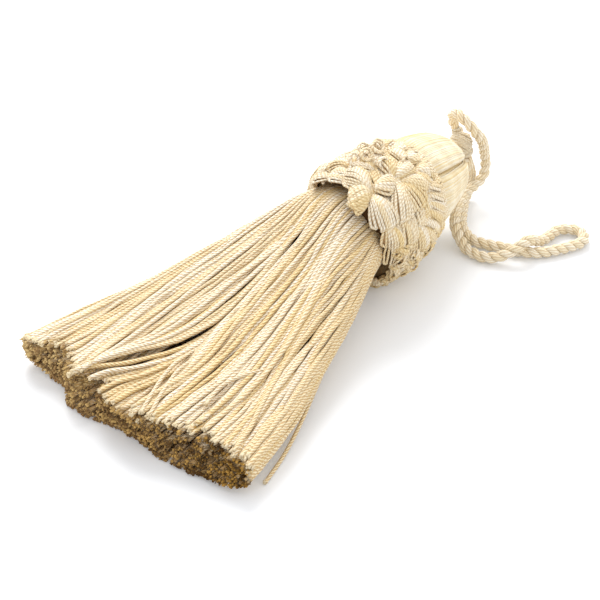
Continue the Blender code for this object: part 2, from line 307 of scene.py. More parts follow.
# The even shells: columns in all, the turn that they start from both ways, and the stations in each.
COLLAR_COLUMNS = 10
PINCH_TURN = 126
SHELL_ROWS = ((76.9, 82.6, 88.2), (74.9, 79.8, 85.4, 90.6))
# The small stitches low on the near side: first and last station, and turn in degrees, with their step.
SMALL_STITCH_STATIONS = (73.4, 90.0, 1.9)
SMALL_STITCH_TURNS = (180.0, 272.0, 9.0)
# The collar's lobes on its shown side: station and turn at the pinch and at the tip, width and crest.
LOBES = (
    (75.7, 119.5, 72.0, 89.0, 5.2, 2.5),
    (75.7, 120.5, 69.6, 116.0, 6.2, 2.5),
    (75.7, 122.0, 74.0, 155.0, 5.0, 2.5),
    (76.2, 117.0, 79.8, 124.5, 3.9, 2.0),
    (80.6, 123.5, 77.5, 156.0, 3.8, 2.3),
    (80.9, 123.5, 82.1, 154.0, 3.9, 2.2),
    (80.9, 123.0, 86.0, 141.0, 3.5, 2.2),
    (80.6, 120.0, 81.2, 98.0, 3.2, 2.2),
    (80.6, 120.0, 85.6, 117.0, 3.4, 2.2),
    (72.7, 97.0, 69.8, 72.0, 4.4, 2.3),
    (70.8, 74.0, 68.0, 54.0, 4.8, 2.4),
    (78.8, 104.0, 75.0, 84.0, 4.2, 2.3),
    (75.2, 84.0, 73.4, 60.0, 3.8, 2.2),
    (78.6, 103.0, 81.6, 82.0, 3.4, 2.1),
    (84.8, 118.0, 86.6, 96.0, 3.4, 2.1),
    (84.0, 125.0, 88.0, 140.0, 2.6, 2.0),
    (85.0, 140.0, 91.2, 152.0, 2.3, 1.9),
    (84.4, 147.0, 91.2, 162.0, 2.3, 1.9),
    (84.0, 154.0, 91.1, 172.0, 2.4, 1.9),
    (83.3, 161.0, 90.0, 181.5, 2.4, 1.9),
    (82.1, 167.0, 88.6, 190.0, 2.4, 1.9),
    (81.0, 173.0, 86.8, 198.0, 2.5, 1.9),
    (75.4, 151.5, 73.2, 176.0, 4.6, 2.2),
    (78.2, 154.0, 77.1, 178.0, 3.8, 2.2),
    (80.3, 167.0, 80.9, 193.0, 3.6, 2.2),
    (86.0, 84.0, 90.1, 80.0, 3.6, 2.0),
    (86.2, 98.0, 90.3, 96.0, 3.6, 2.0),
    (86.0, 112.0, 90.3, 113.0, 3.6, 2.0),
    (85.8, 125.0, 90.3, 129.0, 3.4, 2.0),
)
LOBE_THREAD = 0.37
LOBE_THREAD_PITCH = 0.46
# The padding under a lobe's threads, and its depth below them.
PAD_ROWS = 14
PAD_COLUMNS = 16
PAD_DEPTH = 0.22
# Small rings of thread on the collar: station, turn, radius and how far they stand up.
RINGS = (
    (78.0, 92.0, 1.3, 2.9),
    (81.7, 90.0, 1.3, 2.9),
    (80.2, 104.0, 1.0, 1.7),
    (84.6, 113.0, 1.0, 1.7),
    (75.2, 88.0, 1.2, 2.8),
    (79.6, 83.0, 1.3, 2.8),
    (83.6, 86.0, 1.2, 2.6),
)
THREAD_RADIUS = 0.36
THREAD_PLIES = 2
THREAD_LAY = 1.8
THREAD_SIDES = 5
THREAD_GROOVE = 0.08
# The front and the back edge: stitches, place of the first, turns that lobes hide, station, heading, length,
# crest and curl.
EDGES = (
    (15, 0.0, (50, 215), 78.2, math.pi, 6.2, 1.9, -0.7),
    (13, 0.5, (0, 0), 88.9, 0.0, 4.3, 1.5, 0.0),
)

# The head's surface, as station and radius.
HEAD_PROFILE = (
    (88.0, 11.0),
    (91.0, 11.3),
    (94.0, 11.7),
    (98.5, 12.0),
    (103.0, 11.2),
    (107.0, 10.2),
    (110.4, 8.7),
    (113.0, 6.8),
    (114.9, 4.6),
    (116.4, 2.9),
    (117.4, 2.2),
)
HEAD_STRANDS = 300
HEAD_RINGS = 31
HEAD_STATIONS = (89.5, 117.2)
STRAND_RADIUS = 0.27
CORE_STATIONS = (82.0, 116.6)
CORE_ROWS = 60
CORE_COLUMNS = 120
CORE_LIFT = -0.36
# The crease on the head's near side: its turn at one station, how it leans, its depth and its width.
CREASE_STATION = 94
CREASE_TURN = 142
CREASE_LEAN = 0.6
CREASE_DEPTH = 1.7
CREASE_WIDTH = 0.085
KNOT_CENTRE = (120.1, 2.2, 18.6)
KNOT_THREAD = 0.42
KNOT_LAY = 2.4
KNOT_GROOVE = 0.04
# The knot's two crossed balls of wraps, its tail and the turn that holds the loop's end: offset, radius,
# wraps, how near the poles they go, lean and wobble.
KNOT_BALLS = (
    ((0.0, 0.0, 0.0), 2.78, 10, 0.93, 38.0, 0.12),
    ((0.0, 0.0, 0.0), 2.28, 9, 0.93, -22.8, 0.12),
    ((1.2, -1.2, -2.3), 1.35, 5, 0.8, -22.8, 0.0),
    ((1.0, 1.9, 2.5), 1.15, 4, 0.8, -22.8, 0.0),
)

# Colours of the threads; the painted shade in their grooves, on their under sides and where they lie deep;
# and the colours of what is cut, whose darkest brown is painted shade too.
PALE = (0.88, 0.82, 0.68)
GOLD = (0.79, 0.63, 0.33)
GROOVE_SHADE_TINT = (0.66, 0.49, 0.30)
HEAD_PALE = (0.86, 0.79, 0.62)
DEEP_SHADE = (0.38, 0.22, 0.09)
STRAW = (0.48, 0.27, 0.06)
UMBER_SHADE = (0.06, 0.024, 0.003)


# Shader maths


class Value:
    """A shader socket that takes arithmetic."""

    def __init__(self, finish, socket):
        self.finish = finish
        self.socket = socket

    def math(self, operation, first, second):
        return self.finish.node("Math", {"operation": operation}, {0: first, 1: second})

    def __add__(self, other):
        return self.math("ADD", self, other)

    def __radd__(self, other):
        return self.math("ADD", other, self)

    def __sub__(self, other):
        return self.math("SUBTRACT", self, other)

    def __rsub__(self, other):
        return self.math("SUBTRACT", other, self)

    def __mul__(self, other):
        return self.math("MULTIPLY", self, other)

    def __rmul__(self, other):
        return self.math("MULTIPLY", other, self)

    def __pow__(self, other):
        return self.math("POWER", self, other)

    def wave(self):
        """A wave from 0 to 1 that peaks at whole numbers."""
        return 0.5 + 0.5 * self.math("COSINE", self * FULL_TURN, 0.0)

    def between(self, low, high):
        """0 below low, 1 above high, and even between them."""
        return self.finish.node("MapRange", {}, {"Value": self, "From Min": low, "From Max": high})


class Finish:
    """A material, with its shader's constants set on the shader's own sockets."""

    def __init__(self, name, constants):
        self.material = bpy.data.materials.new(name)
        self.material.use_nodes = True
        self.tree = self.material.node_tree
        self.shader = self.tree.nodes["Principled BSDF"]
        for socket, value in constants.items():
            self.shader.inputs[socket].default_value = value

    def node(self, kind, settings, sockets, output=0):
        made = self.tree.nodes.new("ShaderNode" + kind)
        for key, value in settings.items():
            setattr(made, key, value)
        for key, value in sockets.items():
            if isinstance(value, Value):
                self.tree.links.new(value.socket, made.inputs[key])
            else:
                made.inputs[key].default_value = value
        return Value(self, made.outputs[output])

    def part(self, vector, axis):
        return self.node("SeparateXYZ", {}, {0: vector}, axis)

    def place(self):
        return self.node("TexCoord", {}, {}, "Object")

    def attribute(self, name):
        return self.node("Attribute", {"attribute_name": name}, {}, "Fac")

    def noise(self, scale, detail=3.0):
        return self.node("TexNoise", {}, {"Vector": self.place(), "Scale": scale, "Detail": detail})

    def mix(self, factor, first, second):
        first, second = (c if isinstance(c, Value) else (*c, 1) for c in (first, second))
        return self.node("Mix", {"data_type": "RGBA"}, {0: factor, 6: first, 7: second}, 2)

    def tinted(self, factor, colour, tint):
        settings = {"data_type": "RGBA", "blend_type": "MULTIPLY"}
        return self.node("Mix", settings, {0: factor, 6: colour, 7: (*tint, 1)}, 2)

    def bump(self, height, strength, distance):
        return self.node("Bump", {}, {"Height": height, "Strength": strength, "Distance": distance})

    def feed(self, socket, value):
        self.tree.links.new(value.socket, self.shader.inputs[socket])


def thread_finish(name, plies, lay, roughness, pale=PALE, groove_shade=0.6, relief=0.5, flank_shade=0.8):
    """Twisted thread: plies that wind round it with grooves between them, mixed tones, and painted shade in
    those grooves, on each thread's under side and where its mark says.
    """
    constants = {"Sheen Weight": 0.12, "Sheen Roughness": 0.35, "Sheen Tint": (1.0, 0.95, 0.84, 1)}
    finish = Finish(name, {**constants, "Specular IOR Level": 0.45, "Metallic": 0.0})
    chart = finish.node("UVMap", {"uv_map": "thread"}, {})
    run, turn = finish.part(chart, 0), finish.part(chart, 1)
    cloud = finish.noise(900.0)
    ply = (turn * plies - run * (plies / lay) + cloud * 0.9).wave()
    drift = finish.noise(60.0, 2.0)
    tone = finish.attribute("tone") + (drift - 0.5) * 0.3 + (cloud - 0.5) * 0.25
    colour = finish.mix(tone.between(0.0, 1.0), pale, GOLD)
    # Painted shade in the grooves between the plies.
    colour = finish.tinted((1 - ply) ** 1.3 * groove_shade, colour, GROOVE_SHADE_TINT)
    # Painted shade on each thread's under side, the side that faces in.
    colour = finish.mix(finish.attribute("under").between(0.4, 1.0) * flank_shade, colour, DEEP_SHADE)
    # Darker and browner near the cut ends, and painted shade where the mark is set: deep in the skirt, under
    # the collar's front and in the head's crease.
    colour = finish.mix(finish.attribute("fray_and_shade"), colour, finish.mix(0.35, STRAW, UMBER_SHADE))
    finish.feed("Base Color", colour)
    finish.feed("Roughness", roughness + 0.18 * (1 - ply) + 0.1 * cloud)
    finish.feed("Normal", finish.bump(ply + cloud * 0.3, relief, 0.00022))
    return finish.material


def cut_finish(name):
    """Opened fibres at the cut end: straw at the tip, with painted shade that is brown at the root, dark in
    hollows between them, and deeper on the skirt's near side.
    """
    finish = Finish(name, {"Specular IOR Level": 0.08, "Metallic": 0.0})
    # Patches of tone, and large dark hollows that are painted shade between the fibres.
    patch = finish.noise(700.0, 2.0)
    hollow = finish.noise(260.0, 1.0)
    # Painted shade across the cut end: the near side, towards minus across, is deeper and the far side paler.
    aside = finish.part(finish.place(), 1).between(-0.03, 0.03)
    straw = finish.mix(aside * 0.6, STRAW, GOLD)
    gap = finish.mix(aside * 0.8, UMBER_SHADE, DEEP_SHADE)
    tone = finish.attribute("tone") + (patch - 0.5) * 0.8 + (hollow - 0.5) * 2.2 - aside * 0.4 + 0.36
    colour = finish.mix(tone.between(0.0, 0.85), straw, gap)
    colour = finish.mix(finish.attribute("fray_and_shade"), finish.mix(0.5, PALE, GOLD), colour)
    finish.feed("Base Color", colour)
    finish.feed("Roughness", 0.55 + 0.3 * patch)
    finish.feed("Normal", finish.bump(patch, 0.4, 0.0002))
    return finish.material


def backing_finish(name):
    """The ground that shows between threads, in painted shade colours, with a painted shadow that is deepest
    in the hollow under the collar's front.
    """
    finish = Finish(name, {"Specular IOR Level": 0.2, "Metallic": 0.0})
    cloud = finish.noise(1400.0)
    drift = finish.noise(160.0)
    front = finish.part(finish.place(), 0).between(HOLLOW_STATION * MM, (HOLLOW_STATION + HOLLOW_LENGTH) * MM)
    colour = finish.mix((cloud * 0.8 + drift * 0.6).between(0.35, 1.05), DEEP_SHADE, GOLD)
    # Painted shadow: the ground is near black at the collar's front and fades to its shade colours over the
    # hollow's length.
    colour = finish.mix(front, UMBER_SHADE, colour)
    finish.feed("Base Color", colour)
    finish.feed("Roughness", 0.7 + 0.2 * cloud)
    finish.feed("Normal", finish.bump(cloud + drift, 0.8, 0.0003))
    return finish.material


# Shapes


def metres(points):
    """Points of station, across and up in millimetres, as metres in the part's frame."""
    return (np.asarray(points, float) - (ORIGIN_STATION, ORIGIN_ACROSS, 0)) * MM


def read(table, at):
    """The second column of a table, even between its rows."""
    return np.interp(at, *np.array(table).T)


def run_along(paths):
    """How far along its path each point is."""
    steps = np.linalg.norm(np.diff(paths, axis=-2), axis=-1)
    return np.concatenate([np.zeros_like(steps[..., :1]), np.cumsum(steps, axis=-1)], axis=-1)


def smooth_step(x):
    x = np.clip(x, 0, 1)
    return x * x * (3 - 2 * x)


def crossing_frames(paths):
    """Two directions square to each path at each of its points, which turn as little as they can."""
    tangents = np.gradient(paths, axis=1)
    tangents /= np.linalg.norm(tangents, axis=2, keepdims=True) + 1e-12
    guess = np.where(np.abs(tangents[:, 0, 2:3]) < 0.8, [[0.0, 0.0, 1.0]], [[1.0, 0.0, 0.0]])
    first = np.empty_like(paths)
    for i in range(paths.shape[1]):
        along = tangents[:, i]
        guess = guess - (guess * along).sum(1, keepdims=True) * along
        guess /= np.linalg.norm(guess, axis=1, keepdims=True) + 1e-12
        first[:, i] = guess
    return first, np.cross(tangents, first)


class Threads:
    """Tubes that are gathered into one mesh, each with its tone and its map of run and turn."""

    def __init__(self):
        self.points, self.quads, self.corners = [], [], []
        self.quad_maps, self.corner_maps = [], []
        self.marks = {"tone": [], "fray_and_shade": [], "under": []}
        self.count = 0

    def add(
        self, paths, radii, sides, tones, plies=0, lay=1.0, depth=0.0, frays=0.0, phase=0.0, stretch=1.0,
        outward=None, flat=0.0
    ):
        """Twisted tubes along paths, as an array of path, ring and place in millimetres."""
        paths = np.asarray(paths, float)
        many, rings = paths.shape[:2]
        radii = np.broadcast_to(np.asarray(radii, float), (many, rings))
        first, second = crossing_frames(paths)
        run = run_along(paths) * np.reshape(stretch, (-1, 1)) + np.reshape(phase, (-1, 1))
        turn = np.arange(sides) / sides * FULL_TURN
        lobes = 1 + depth * np.cos(plies * turn[None, None] - FULL_TURN * plies * run[..., None] / lay)
        reach = radii[..., None] * lobes
        aim = np.cos(turn)[:, None] * first[:, :, None] + np.sin(turn)[:, None] * second[:, :, None]
        rim = paths[:, :, None] + reach[..., None] * aim
        # Painted shade: the side of each tube that faces in, away from outward, is marked to be painted
        # darker; without an outward, every point is marked a little.
        under = np.full(rim.shape[:3], 0.3)
        if outward is not None:
            outward = outward / (np.linalg.norm(outward, axis=-1, keepdims=True) + 1e-9)
            facing = (aim * outward[:, :, None]).sum(-1)
            under = 0.5 - 0.5 * facing
            rim = rim + flat * reach[..., None] * (aim - 2 * facing[..., None] * outward[:, :, None])
        self.points += [rim.reshape(-1, 3), paths[:, [0, -1]].reshape(-1, 3)]
        self.add_marks(tones, frays, under, many, rings, sides)
        self.add_faces(run, many, rings, sides)
        self.count += many * (rings * sides + 2)

    def add_marks(self, tones, frays, under, many, rings, sides):
        """Each point's tone, its mark of fraying and painted shade, and how far it is on its thread's under
        side, which is painted in shade.
        """
        tones = np.asarray(tones, float)
        tones = tones if tones.ndim == 2 else tones[:, None]
        for mark, values in (("tone", tones), ("fray_and_shade", frays)):
            values = np.broadcast_to(values, (many, rings))
            self.marks[mark] += [np.repeat(values.reshape(-1), sides), values[:, [0, -1]].reshape(-1)]
        self.marks["under"] += [under.reshape(-1), np.full(many * 2, 0.5)]

    def add_faces(self, run, many, rings, sides):
        """The tubes' walls and their closed ends, with the map of run and turn."""
        base = self.count + np.arange(many)[:, None, None] * (rings * sides)
        side = np.arange(sides)[None, None]
        after = (side + 1) % sides
        near = base + np.arange(rings - 1)[None, :, None] * sides
        far = near + sides
        self.quads.append(np.stack([near + side, near + after, far + after, far + side], -1).reshape(-1, 4))
        near, far = run[:, :-1, None] + 0 * side, run[:, 1:, None] + 0 * side
        left, right = side / sides + 0 * near, (side + 1) / sides + 0 * near
        chart = np.stack([near, left, near, right, far, right, far, left], -1)
        self.quad_maps.append(chart.reshape(-1, 2))
        side, after, base = side[0], after[0], base[:, 0]
        tips = self.count + many * rings * sides + np.arange(many)[:, None] * 2 + 0 * side
        last = base + (rings - 1) * sides
        self.corners.append(np.stack([tips, base + after, base + side], -1).reshape(-1, 3))
        self.corners.append(np.stack([tips + 1, last + side, last + after], -1).reshape(-1, 3))
        for place in (0, -1):
            along = run[:, place, None] + 0 * side
            here, there = side / sides + 0 * along, (side + 1) / sides + 0 * along
            turned = (there, here) if place == 0 else (here, there)
            chart = np.stack([along, here, along, turned[0], along, turned[1]], -1)
            self.corner_maps.append(chart.reshape(-1, 2))

    def made(self, name, material):
        points = metres(np.concatenate(self.points))
        quads, corners = np.concatenate(self.quads), np.concatenate(self.corners)
        chart = np.concatenate(self.quad_maps + self.corner_maps)
        marks = {mark: np.concatenate(values) for mark, values in self.marks.items()}
        return mesh_piece(name, points, quads, corners, chart, marks, material)


def mesh_piece(name, points, quads, corners, chart, marks, material):
    """An object from arrays of its points, four-sided and three-sided faces, map and point marks."""
    mesh = bpy.data.meshes.new(name)
    mesh.vertices.add(len(points))
    mesh.vertices.foreach_set("co", points.astype(np.float32).ravel())
    loops = np.concatenate([quads.ravel(), corners.ravel()]).astype(np.int32)
    mesh.loops.add(len(loops))
    mesh.loops.foreach_set("vertex_index", loops)
    starts = np.concatenate([np.arange(len(quads)) * 4, len(quads) * 4 + np.arange(len(corners)) * 3])
    mesh.polygons.add(len(starts))
    mesh.polygons.foreach_set("loop_start", starts.astype(np.int32))
    mesh.update(calc_edges=True)
    if chart is not None:
        layer = mesh.uv_layers.new(name="thread")
        layer.data.foreach_set("uv", chart.astype(np.float32).ravel())
    for mark, values in marks.items():
        mesh.attributes.new(mark, "FLOAT", "POINT").data.foreach_set("value", values.astype(np.float32))
    mesh.shade_smooth()
    mesh.materials.append(material)
    piece = bpy.data.objects.new(name, mesh)
    bpy.context.scene.collection.objects.link(piece)
    return piece


def grid_quads(rows, columns, closed_around=True, closed_along=False):
    """Four-sided faces through a grid of points, rows along and columns around."""
    row = np.arange(rows if closed_along else rows - 1)[:, None]
    column = np.arange(columns if closed_around else columns - 1)[None]
    below, right = (row + 1) % rows, (column + 1) % columns
    corners = (row, column), (row, right), (below, right), (below, column)
    return np.stack([r * columns + c for r, c in corners], -1).reshape(-1, 4)


def surface_piece(name, points, quads, material, **marks):
    """A smooth surface in millimetres, with marks that are the same all over it."""
    points = metres(points.reshape(-1, 3))
    marks = {mark: np.full(len(points), value) for mark, value in marks.items()}
    return mesh_piece(name, points, quads, np.zeros((0, 3), int), None, marks, material)


def mounted(piece, slot, *nodes):
    """A piece of the tassel, riding on its one body."""
    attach(piece, "root")
    if nodes:
        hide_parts(*nodes)
    return piece


def smooth_route(points, step):
    """Evenly spaced points on a smooth curve through the route's points."""
    points = np.array(points, float)
    ends = np.concatenate([[2 * points[0] - points[1]], points, [2 * points[-1] - points[-2]]])
    fine = []
    for a, b, c, d in zip(ends[:-3], ends[1:-2], ends[2:-1], ends[3:], strict=True):
        for t in np.arange(0, 1, 0.05):
            bow = (2 * a - 5 * b + 4 * c - d) * t**2
            fine.append(0.5 * (2 * b + (c - a) * t + bow + (3 * b - a - 3 * c + d) * t**3))
    fine = np.array(fine + [points[-1]])
    run = run_along(fine)
    at = np.linspace(0, run[-1], round(run[-1] / step) + 1)
    return np.stack([np.interp(at, run, fine[:, axis]) for axis in range(3)], 1)


# The camera, the floor and the light


def build_camera():
    elevation, azimuth = math.radians(CAMERA_ELEVATION), math.radians(CAMERA_AZIMUTH)
    level = math.cos(elevation)
    forward = Vector((level * math.cos(azimuth), level * math.sin(azimuth), -math.sin(elevation)))
    data = bpy.data.cameras.new("camera")
    data.lens = CAMERA_LENS
    data.sensor_width = CAMERA_SENSOR
    data.clip_start = 0.01
    data.clip_end = 20
    camera = bpy.data.objects.new("camera", data)
    camera.location = Vector(metres(CAMERA_TARGET)) - forward * CAMERA_DISTANCE * MM
    camera.rotation_euler = forward.to_track_quat("-Z", "Y").to_euler()
    bpy.context.scene.collection.objects.link(camera)
    bpy.context.scene.camera = camera


def area_light(name, place, target, size, power):
    data = bpy.data.lights.new(name, "AREA")
    data.shape = "DISK"
    data.size = size
    data.energy = power
    light = bpy.data.objects.new(name, data)
    light.location = place
    light.rotation_euler = (Vector(target) - Vector(place)).to_track_quat("-Z", "Y").to_euler()
    bpy.context.scene.collection.objects.link(light)


def build_studio():
    """A plain pale floor in a white room, lit from above, behind and to the left."""
    white = {"Roughness": 0.6, "Specular IOR Level": 0.2, "Base Color": (0.735, 0.745, 0.765, 1)}
    white |= {"Emission Color": (1.0, 1.0, 1.0, 1), "Emission Strength": 0.12}
    edges = (-FLOOR_REACH, FLOOR_REACH)
    corners = np.array([(x, y, -FLOOR_DROP) for x in edges for y in edges])
    quads = grid_quads(2, 2, closed_around=False)
    surface_piece("floor", corners, quads, Finish("floor_white", white).material)
    world = bpy.data.worlds.new("room")
    world.use_nodes = True
    background = world.node_tree.nodes["Background"]
    background.inputs["Color"].default_value = (1.0, 1.0, 1.0, 1)
    background.inputs["Strength"].default_value = 1.12
    bpy.context.scene.world = world
    bpy.context.scene.view_settings.view_transform = "Standard"
    area_light("key", *KEY_LIGHT, 0.45, 4.8)
    area_light("fill", *FILL_LIGHT, 0.3, 0.2)


# The hanging loop


def wound(route, offset, lay, start):
    """A path that winds round another at an offset."""
    first, second = crossing_frames(route[None])
    angle = FULL_TURN * run_along(route) / lay + start
    return route + offset * (np.cos(angle)[:, None] * first[0] + np.sin(angle)[:, None] * second[0])


def build_cord(material):
    """Two plump plies wound round each other, each of fine yarns."""
    route = smooth_route(CORD_ROUTE, CORD_STEP)
    paths = np.array([wound(route, PLY_OFFSET, CORD_LAY, math.pi * ply) for ply in range(2)])
    threads = Threads()
    twist = PLY_YARNS, -PLY_LAY, PLY_GROOVE
    # The plies' sides that face the cord's middle are painted in shade.
    threads.add(paths, PLY_RADIUS, PLY_SIDES, PLY_TONES, *twist, outward=paths - route, flat=PLY_FLAT)
    piece = mounted(threads.made("hanging_loop", material), "twine", "hanging_cord")
    line = metres(smooth_route(CORD_ROUTE, ROUTE_STEP))
    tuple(line[0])


# The skirt


def spread(table, at):
    """The columns of a table at stations, read from a smooth curve through its rows."""
    rows = np.array(table, float)
    keys = rows[:, 0]
    at = np.clip(np.asarray(at, float), keys[0], keys[-1])
    i = np.clip(np.searchsorted(keys, at) - 1, 0, len(keys) - 2)
    before, after = np.maximum(i - 1, 0), np.minimum(i + 2, len(keys) - 1)
    span = keys[i + 1] - keys[i]
    t = ((at - keys[i]) / span)[..., None]
    slope_a = (rows[i + 1] - rows[before]) / (keys[i + 1] - keys[before])[..., None] * span[..., None]
    slope_b = (rows[after] - rows[i]) / (keys[after] - keys[i])[..., None] * span[..., None]
    return (
        (2 * t**3 - 3 * t**2 + 1) * rows[i]
        + (t**3 - 2 * t**2 + t) * slope_a
        + (3 * t**2 - 2 * t**3) * rows[i + 1]
        + (t**3 - t**2) * slope_b
    )


class SkirtForm:
    """The skirt's outline at every station, looked up by station and share of the way round."""

    SAMPLES = 480

    def __init__(self):
        self.stations = np.arange(-7.0, 79.0, 1.0)
        turn = np.linspace(0, FULL_TURN, 1441)
        self.table = np.empty((len(self.stations), self.SAMPLES + 1, 4))
        self.around = np.empty(len(self.stations))
        for i, row in enumerate(spread(SKIRT_SECTIONS, self.stations)):
            _, middle, half_width, underside, top, squareness = row
            power = 2 / squareness
            aside, upward = np.cos(turn), np.sin(turn)
            y = middle + half_width * np.sign(aside) * np.abs(aside) ** power
            z = (underside + top) / 2 + (top - underside) / 2 * np.sign(upward) * np.abs(upward) ** power
            run = np.concatenate([[0], np.cumsum(np.hypot(np.diff(y), np.diff(z)))])
            at = np.linspace(0, run[-1], self.SAMPLES + 1)
            y, z = np.interp(at, run, y), np.interp(at, run, z)
            dy, dz = np.gradient(y), np.gradient(z)
            size = np.hypot(dy, dz) + 1e-9
            self.table[i] = np.stack([y, z, dz / size, -dy / size], 1)
            self.around[i] = run[-1]

    def look_up(self, station, share):
        """Across, up and the outward direction at stations and shares."""
        row = np.clip(station - self.stations[0], 0, len(self.stations) - 1.001)
        column = (share % 1.0) * self.SAMPLES
        i, j = row.astype(int), column.astype(int)
        a, b = (row - i)[..., None], (column - j)[..., None]
        t = self.table
        near = t[i, j] * (1 - b) + t[i, j + 1] * b
        far = t[i + 1, j] * (1 - b) + t[i + 1, j + 1] * b
        return near * (1 - a) + far * a

    def inside(self, station, share, inset):
        """Across, up and the outward direction at places that lie inside the outline."""
        found = self.look_up(station, share)
        return found[..., 0] - found[..., 2] * inset, found[..., 1] - found[..., 3] * inset, found[..., 2:]

    def perimeter(self, station):
        return np.interp(station, self.stations, self.around)


def waves(rng, many, at, lengths, heights):
    """Slow random wander for each of many paths, at the stations of its rings."""
    total = np.zeros_like(at)
    for length, height in zip(lengths, heights, strict=True):
        phase = rng.uniform(0, FULL_TURN, (many, 1))
        stretch = rng.uniform(0.8, 1.25, (many, 1))
        total += height * np.sin(FULL_TURN * at / (length * stretch) + phase)
    return total


def bundle_waves(at, share):
    """Wander that neighbouring yarns have in common, which gathers them into locks."""
    total = np.zeros_like(at)
    for turns, length, height, phase in SHARED_WANDER:
        total += height * np.sin(FULL_TURN * (share * turns + at / length) + phase)
    return total


def cut_stations(across, up):
    """Where yarns are cut, from where they lie in the cut end."""
    upper = smooth_step((up - 1.0) / 6.0)
    return read(UPPER_CUT, across) * upper + read(LOWER_CUT, across) * (1 - upper)


def push_apart(across, line, half, reach, weight):
    """Moves yarns off a line, each to the side that it mostly lies on, and gives how far it then is."""
    off = across - line
    side = np.where((off * (weight + 1e-6)).sum(1, keepdims=True) < 0, -1.0, 1.0)
    away = np.clip(off * side, 0, None)
    away = away + half * np.clip(1 - away / reach, 0, 1)
    return across + (line + side * away - across) * weight, away, side


def opening(station):
    """The main parting, the big lock's left edge and half the parting's width, at stations."""
    found = spread(OPENING, station)
    return found[..., 1], found[..., 2], np.maximum(found[..., 3], 0)


def part_locks(station, across, up, facing_up):
    """Moves upper yarns clear of the opening and the partings, and lifts the big lock's edge over it."""
    parting, edge, half = opening(station)
    left, right = parting + half, edge
    weight = smooth_step((facing_up - 0.25) / 0.35) * smooth_step((60 - station) / 8)
    across, away, side = push_apart(across, (left + right) / 2, (left - right) / 2, OPENING_REACH, weight)
    near = np.exp(-(((away - (left - right) / 2) / 2.4) ** 2)) * weight * smooth_step((36 - station) / 15)
    up = up + np.where(side < 0, 0.8, 0.35) * near
    for s0, a0, s1, a1, half, depth in PARTINGS:
        t = (station - s0) / (s1 - s0)
        inside = smooth_step(t * 3) * smooth_step((1 - t) * 3)
        weight = inside * smooth_step((facing_up - 0.1) / 0.3)
        near = np.abs(across - (a0 + (a1 - a0) * t)) < 4.0
        moved, away, _ = push_apart(across, a0 + (a1 - a0) * t, half, 3.0, weight)
        across = np.where(near, moved, across)
        up = up - depth * np.exp(-((away / 0.9) ** 2)) * weight
    return across, up


def part_inner(station, across, up, facing_up):
    """Opens the inner yarns below the main parting, so that it is deep."""
    parting, _, half = opening(station)
    weight = smooth_step((facing_up - 0.1) / 0.3)
    moved, away, _ = push_apart(across, parting, half + 0.25, 5.0, weight)
    across = np.where(np.abs(across - parting) < 6.0, moved, across)
    return across, up - 1.6 * np.exp(-(((away - half) / 1.4) ** 2)) * weight * np.clip(half, 0, 1)


def yarn_tones(rng, many):
    """Cream and golden yarns, mixed, with neighbours often alike."""
    tones = rng.uniform(0, 1, many)
    alike = rng.uniform(0, 1, many) < 0.15
    for i in range(1, many):
        if alike[i]:
            tones[i] = tones[i - 1] + 0.1 * (tones[i] - 0.5)
    return np.clip(1.16 * tones - 0.08, 0, 1)


def skirt_paths(form, rng, many, rings, inset_end, inset_neck, spread_in, start=None):
    """Yarns from the neck, or from a start station, to the cut end, each at its own depth in the skirt."""
    shares = (np.arange(many) + 0.5 + rng.uniform(-0.2, 0.2, many)) / many
    depth = rng.uniform(-spread_in, spread_in, many)[:, None]
    ends = form.look_up(np.full(many, CUT_SECTION), shares)
    place = ends[:, :2] - ends[:, 2:] * inset_end
    uneven = rng.uniform(-0.8, 1.7, many) * np.clip(place[:, 1] / 6, 0.2, 1)
    cut = cut_stations(place[:, 0], place[:, 1]) + uneven
    root = ROOT_STATION if start is None else start
    t = np.linspace(0, 1, rings)[None]
    station = root + (cut[:, None] - root) * t
    loose = smooth_step((NECK_STATION - station) / 24) if start is None else 1.0
    shift = bundle_waves(station, shares[:, None]) + waves(rng, many, station, *YARN_WANDER)
    share = shares[:, None] + shift * loose / form.perimeter(station)
    inset = inset_neck + (inset_end - inset_neck) * smooth_step((NECK_STATION - station) / 50)
    inset = inset + depth * loose + waves(rng, many, station, (46, 27), (0.13, 0.07)) * loose
    return station, *form.inside(station, share, inset)


def hollow_end(station, across, up):
    """Opens the dark hollow in the cut end."""
    middle, height, half = END_HOLLOW
    near = np.exp(-(((up - height) / 2.4) ** 2)) * smooth_step((9 - station) / 6)
    off = across - middle
    return across + np.where(off < 0, -half, half) * np.exp(-np.abs(off) / 1.6) * near


# How much darker and browner a yarn is near its cut end, by how far it is from it.
def cut_end_darkening(station_from_end):
    return smooth_step(1 - station_from_end / 1.5) * 0.8


def ends_of(paths):
    """How far each ring is from its yarn's cut end, in millimetres."""
    run = run_along(paths)
    return run[:, -1:] - run


